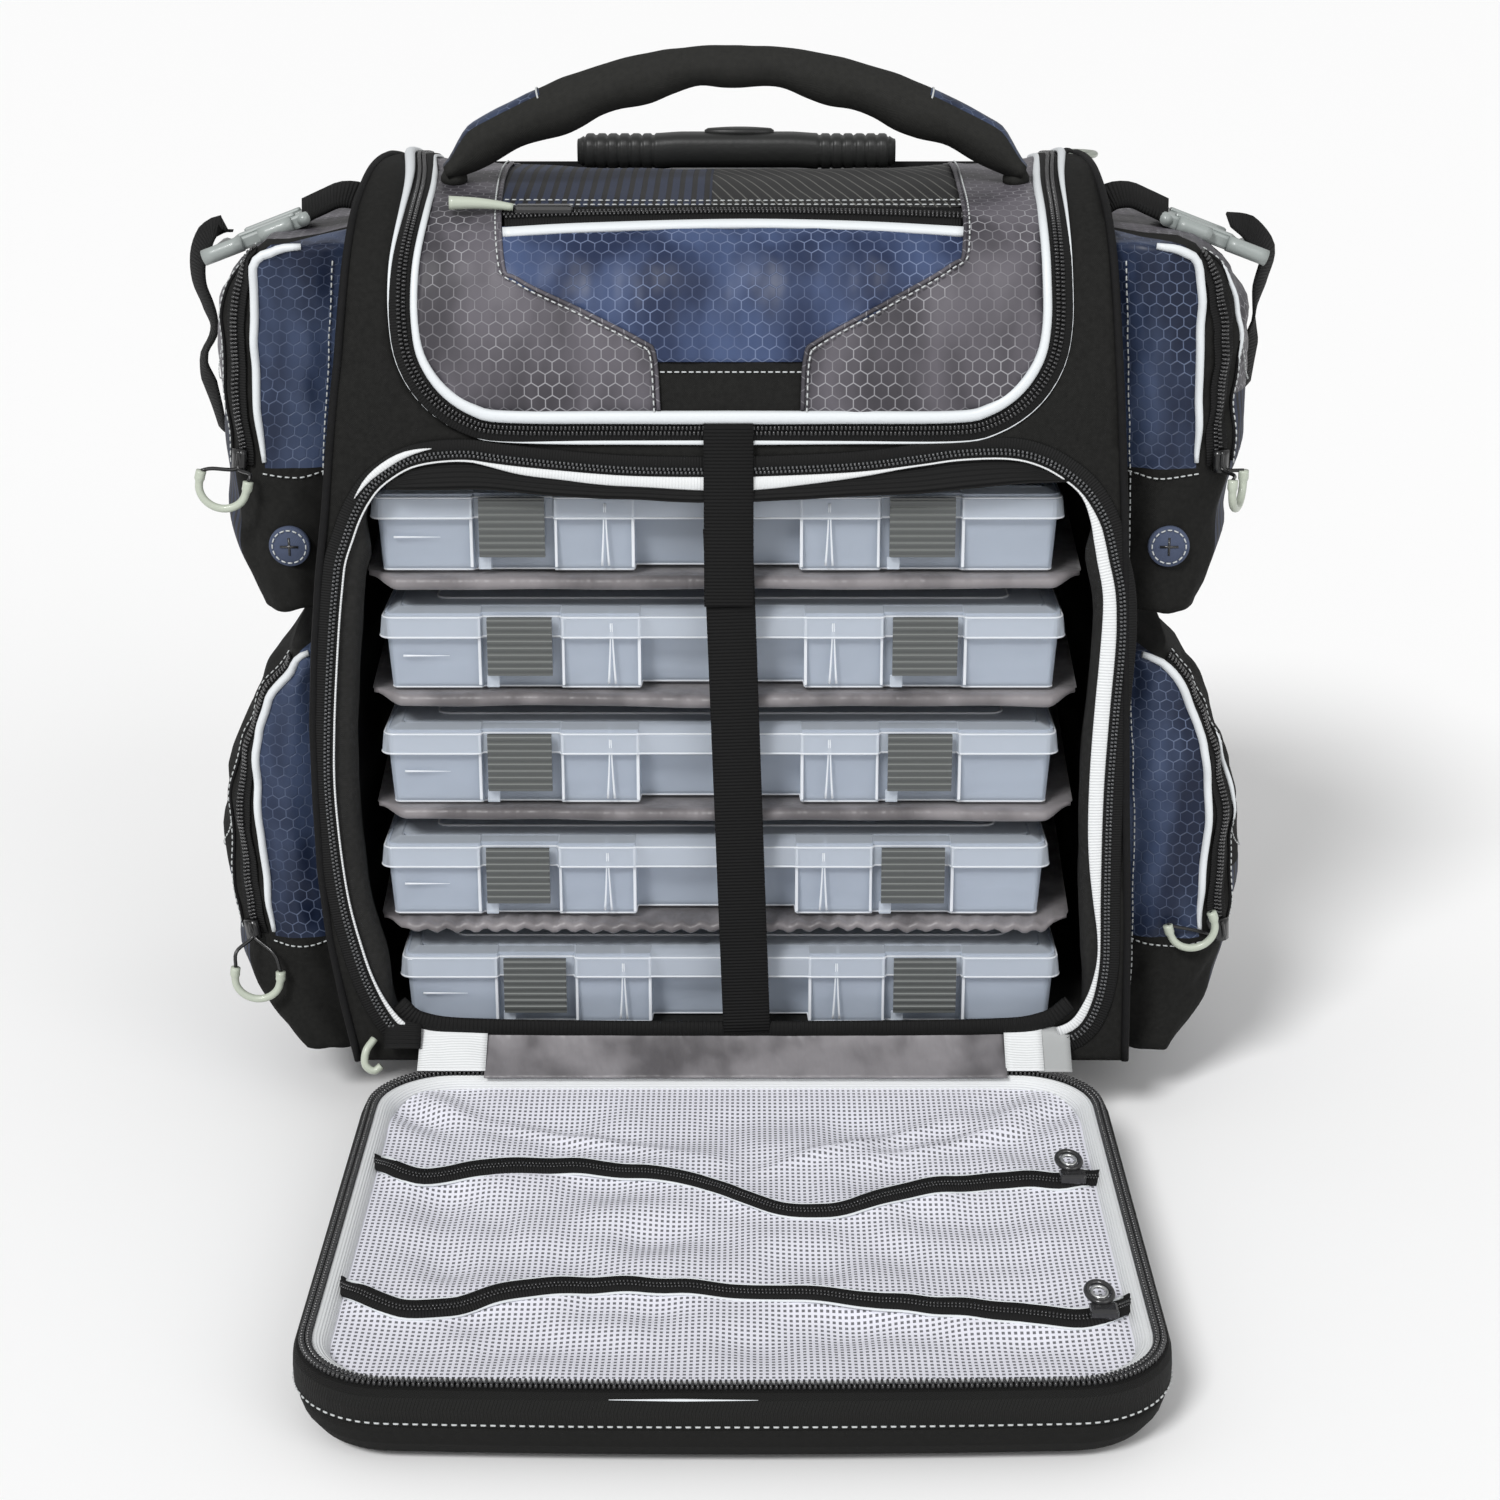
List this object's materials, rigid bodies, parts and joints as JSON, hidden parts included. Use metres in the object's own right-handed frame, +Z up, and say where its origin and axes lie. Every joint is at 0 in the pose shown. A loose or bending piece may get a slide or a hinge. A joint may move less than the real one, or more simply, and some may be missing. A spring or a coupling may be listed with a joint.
{
  "type": "tackle backpack",
  "caption": "wheeled fishing tackle backpack with utility boxes behind a drop-down front door, a top lid compartment, side pockets and a telescopic trolley handle",
  "frame": {"origin": "on the underside of the front skid, where the front panel's plane and the bag's centre plane meet the floor", "axes": "+Z up, -Y out of the front (the open door lies that way), +X to the right as seen from the front"},
  "size_m": [0.5771, 0.6379, 0.567],
  "materials": {
    "black_woven": "tight black polyester weave, matt",
    "navy_ripstop": "navy ripstop with a raised hexagon pattern, slight sheen",
    "grey_lining": "mauve-grey satin lining",
    "webbing": "black nylon webbing",
    "door_foam": "black fabric over moulded foam",
    "white_mesh": "white coated grid mesh",
    "clear_tray": "translucent polypropylene",
    "clear_lid": "translucent polypropylene",
    "latch_grey": "dark grey ribbed plastic",
    "pull_plastic": "pale grey-green moulded plastic",
    "buckle_plastic": "pale grey-green moulded plastic",
    "black_moulded": "black moulded plastic",
    "tube_metal": "anodised tube",
    "wheel_rubber": "black rubber tread on a moulded hub"
  },
  "bodies": {
    "bag": {"front_panel": "black_woven", "back_panel": "black_woven", "side_wall_left": "black_woven", "side_wall_right": "black_woven", "base_panel": "grey_lining", "mid_deck": "grey_lining", "top_collar": "black_woven", "shelf_1": "grey_lining", "shelf_2": "grey_lining", "shelf_3": "grey_lining", "shelf_4": "grey_lining", "upper_pocket_left": "navy_ripstop", "upper_pocket_right": "navy_ripstop", "lower_pocket_left": "navy_ripstop", "lower_pocket_right": "navy_ripstop", "buckle_left": "buckle_plastic", "buckle_right": "buckle_plastic", "shoulder_harness": "black_woven", "trolley_frame": "tube_metal", "base_chassis": "black_moulded"},
    "door": {"door_shell": "door_foam", "door_mesh": "white_mesh"},
    "door_zip_upper": {"door_slider_upper": "black_moulded"},
    "door_zip_lower": {"door_slider_lower": "black_moulded"},
    "lid": {"lid_panel": "navy_ripstop", "carry_handle": "black_woven"},
    "lid_zip": {"lid_slider": "pull_plastic"},
    "strap_top": {"strap_upper": "webbing"},
    "strap_bottom": {"strap_lower": "webbing"},
    "trolley_mid": {"trolley_mid_tubes": "tube_metal"},
    "trolley_handle": {"trolley_tubes": "tube_metal", "trolley_grip": "black_moulded"},
    "trolley_release": {"trolley_button": "black_moulded"},
    "wheel_l": {"wheel_left": "wheel_rubber"},
    "wheel_r": {"wheel_right": "wheel_rubber"},
    "pull_upper_l": {"upper_pull_left": "pull_plastic"},
    "pull_upper_r": {"upper_pull_right": "pull_plastic"},
    "pull_lower_l": {"lower_pull_left": "pull_plastic"},
    "pull_lower_r": {"lower_pull_right": "pull_plastic"},
    "ring": {"d_ring": "buckle_plastic"},
    "box_1": {"box_1_tray": "clear_tray", "box_1_lid": "clear_lid"},
    "box_1_latch_l": {"box_1_latch_left": "latch_grey"},
    "box_1_latch_r": {"box_1_latch_right": "latch_grey"},
    "box_2": {"box_2_tray": "clear_tray", "box_2_lid": "clear_lid"},
    "box_2_latch_l": {"box_2_latch_left": "latch_grey"},
    "box_2_latch_r": {"box_2_latch_right": "latch_grey"},
    "box_3": {"box_3_tray": "clear_tray", "box_3_lid": "clear_lid"},
    "box_3_latch_l": {"box_3_latch_left": "latch_grey"},
    "box_3_latch_r": {"box_3_latch_right": "latch_grey"},
    "box_4": {"box_4_tray": "clear_tray", "box_4_lid": "clear_lid"},
    "box_4_latch_l": {"box_4_latch_left": "latch_grey"},
    "box_4_latch_r": {"box_4_latch_right": "latch_grey"},
    "box_5": {"box_5_tray": "clear_tray", "box_5_lid": "clear_lid"},
    "box_5_latch_l": {"box_5_latch_left": "latch_grey"},
    "box_5_latch_r": {"box_5_latch_right": "latch_grey"}
  },
  "joints": [
    {"name": "door_hinge", "type": "hinge", "parent": "bag", "child": "door", "pos_m": [0, -0.004, 0.044], "axis": [-1, 0, 0], "range_deg": [0, 90]},
    {"name": "door_zip_upper_slide", "type": "slide", "parent": "door", "child": "door_zip_upper", "axis": [1, 0, 0], "range_m": [-0.33, 0]},
    {"name": "door_zip_lower_slide", "type": "slide", "parent": "door", "child": "door_zip_lower", "axis": [1, 0, 0], "range_m": [-0.33, 0]},
    {"name": "lid_hinge", "type": "hinge", "parent": "bag", "child": "lid", "pos_m": [0, 0.23, 0.4955], "axis": [-1, 0, 0], "range_deg": [0, 95]},
    {"name": "lid_zip_slide", "type": "slide", "parent": "lid", "child": "lid_zip", "axis": [1, 0, 0], "range_m": [0, 0.2]},
    {"name": "strap_top_hinge", "type": "hinge", "parent": "bag", "child": "strap_top", "pos_m": [0, -0.0037, 0.384], "axis": [1, 0, 0], "range_deg": [-100, 0]},
    {"name": "strap_bottom_hinge", "type": "hinge", "parent": "bag", "child": "strap_bottom", "pos_m": [0, -0.0016, 0.062], "axis": [-1, 0, 0], "range_deg": [-80, 0]},
    {"name": "box_1_slide", "type": "slide", "parent": "bag", "child": "box_1", "axis": [0, -1, 0], "range_m": [0, 0.008]},
    {"name": "box_1_latch_left_hinge", "type": "hinge", "parent": "box_1", "child": "box_1_latch_l", "pos_m": [-0.1125, 0.0092, 0.3495], "axis": [1, 0, 0], "range_deg": [-75, 0]},
    {"name": "box_1_latch_right_hinge", "type": "hinge", "parent": "box_1", "child": "box_1_latch_r", "pos_m": [0.0975, 0.0092, 0.3495], "axis": [1, 0, 0], "range_deg": [-75, 0]},
    {"name": "box_2_slide", "type": "slide", "parent": "bag", "child": "box_2", "axis": [0, -1, 0], "range_m": [0, 0.008]},
    {"name": "box_2_latch_left_hinge", "type": "hinge", "parent": "box_2", "child": "box_2_latch_l", "pos_m": [-0.1115, 0.0092, 0.286], "axis": [1, 0, 0], "range_deg": [-75, 0]},
    {"name": "box_2_latch_right_hinge", "type": "hinge", "parent": "box_2", "child": "box_2_latch_r", "pos_m": [0.0985, 0.0092, 0.286], "axis": [1, 0, 0], "range_deg": [-75, 0]},
    {"name": "box_3_slide", "type": "slide", "parent": "bag", "child": "box_3", "axis": [0, -1, 0], "range_m": [0, 0.008]},
    {"name": "box_3_latch_left_hinge", "type": "hinge", "parent": "box_3", "child": "box_3_latch_l", "pos_m": [-0.113, 0.0092, 0.2225], "axis": [1, 0, 0], "range_deg": [-75, 0]},
    {"name": "box_3_latch_right_hinge", "type": "hinge", "parent": "box_3", "child": "box_3_latch_r", "pos_m": [0.097, 0.0092, 0.2225], "axis": [1, 0, 0], "range_deg": [-75, 0]},
    {"name": "box_4_slide", "type": "slide", "parent": "bag", "child": "box_4", "axis": [0, -1, 0], "range_m": [0, 0.008]},
    {"name": "box_4_latch_left_hinge", "type": "hinge", "parent": "box_4", "child": "box_4_latch_l", "pos_m": [-0.1155, 0.0092, 0.159], "axis": [1, 0, 0], "range_deg": [-75, 0]},
    {"name": "box_4_latch_right_hinge", "type": "hinge", "parent": "box_4", "child": "box_4_latch_r", "pos_m": [0.0945, 0.0092, 0.159], "axis": [1, 0, 0], "range_deg": [-75, 0]},
    {"name": "box_5_slide", "type": "slide", "parent": "bag", "child": "box_5", "axis": [0, -1, 0], "range_m": [0, 0.008]},
    {"name": "box_5_latch_left_hinge", "type": "hinge", "parent": "box_5", "child": "box_5_latch_l", "pos_m": [-0.107, 0.0092, 0.0955], "axis": [1, 0, 0], "range_deg": [-75, 0]},
    {"name": "box_5_latch_right_hinge", "type": "hinge", "parent": "box_5", "child": "box_5_latch_r", "pos_m": [0.103, 0.0092, 0.0955], "axis": [1, 0, 0], "range_deg": [-75, 0]},
    {"name": "trolley_mid_slide", "type": "slide", "parent": "bag", "child": "trolley_mid", "axis": [0, 0, -1], "range_m": [-0.33, 0]},
    {"name": "trolley_handle_slide", "type": "slide", "parent": "trolley_mid", "child": "trolley_handle", "axis": [0, 0, -1], "range_m": [-0.33, 0]},
    {"name": "trolley_button_press", "type": "slide", "parent": "trolley_handle", "child": "trolley_release", "axis": [0, 0, -1], "range_m": [0, 0.0025], "stiffness_N_per_m": 300, "springref_m": -0.002},
    {"name": "wheel_l_spin", "type": "hinge", "parent": "bag", "child": "wheel_l", "pos_m": [-0.196, 0.262, 0.038], "axis": [1, 0, 0], "continuous": true},
    {"name": "wheel_r_spin", "type": "hinge", "parent": "bag", "child": "wheel_r", "pos_m": [0.196, 0.262, 0.038], "axis": [1, 0, 0], "continuous": true},
    {"name": "pull_upper_l_slide", "type": "slide", "parent": "bag", "child": "pull_upper_l", "axis": [0, 0, 1], "range_m": [0, 0.085]},
    {"name": "pull_upper_r_slide", "type": "slide", "parent": "bag", "child": "pull_upper_r", "axis": [0, 0, 1], "range_m": [0, 0.085]},
    {"name": "pull_lower_l_slide", "type": "slide", "parent": "bag", "child": "pull_lower_l", "axis": [0, 0, 1], "range_m": [0, 0.13]},
    {"name": "pull_lower_r_slide", "type": "slide", "parent": "bag", "child": "pull_lower_r", "axis": [0, 0, 1], "range_m": [0, 0.11]},
    {"name": "ring_hinge", "type": "hinge", "parent": "bag", "child": "ring", "pos_m": [0.185, 0.202, 0.4995], "axis": [0, -1, 0], "range_deg": [0, 100]}
  ],
  "couplings": [
    {"joint": "strap_bottom_hinge", "follows": "strap_top_hinge", "ratio": 0.8}
  ]
}
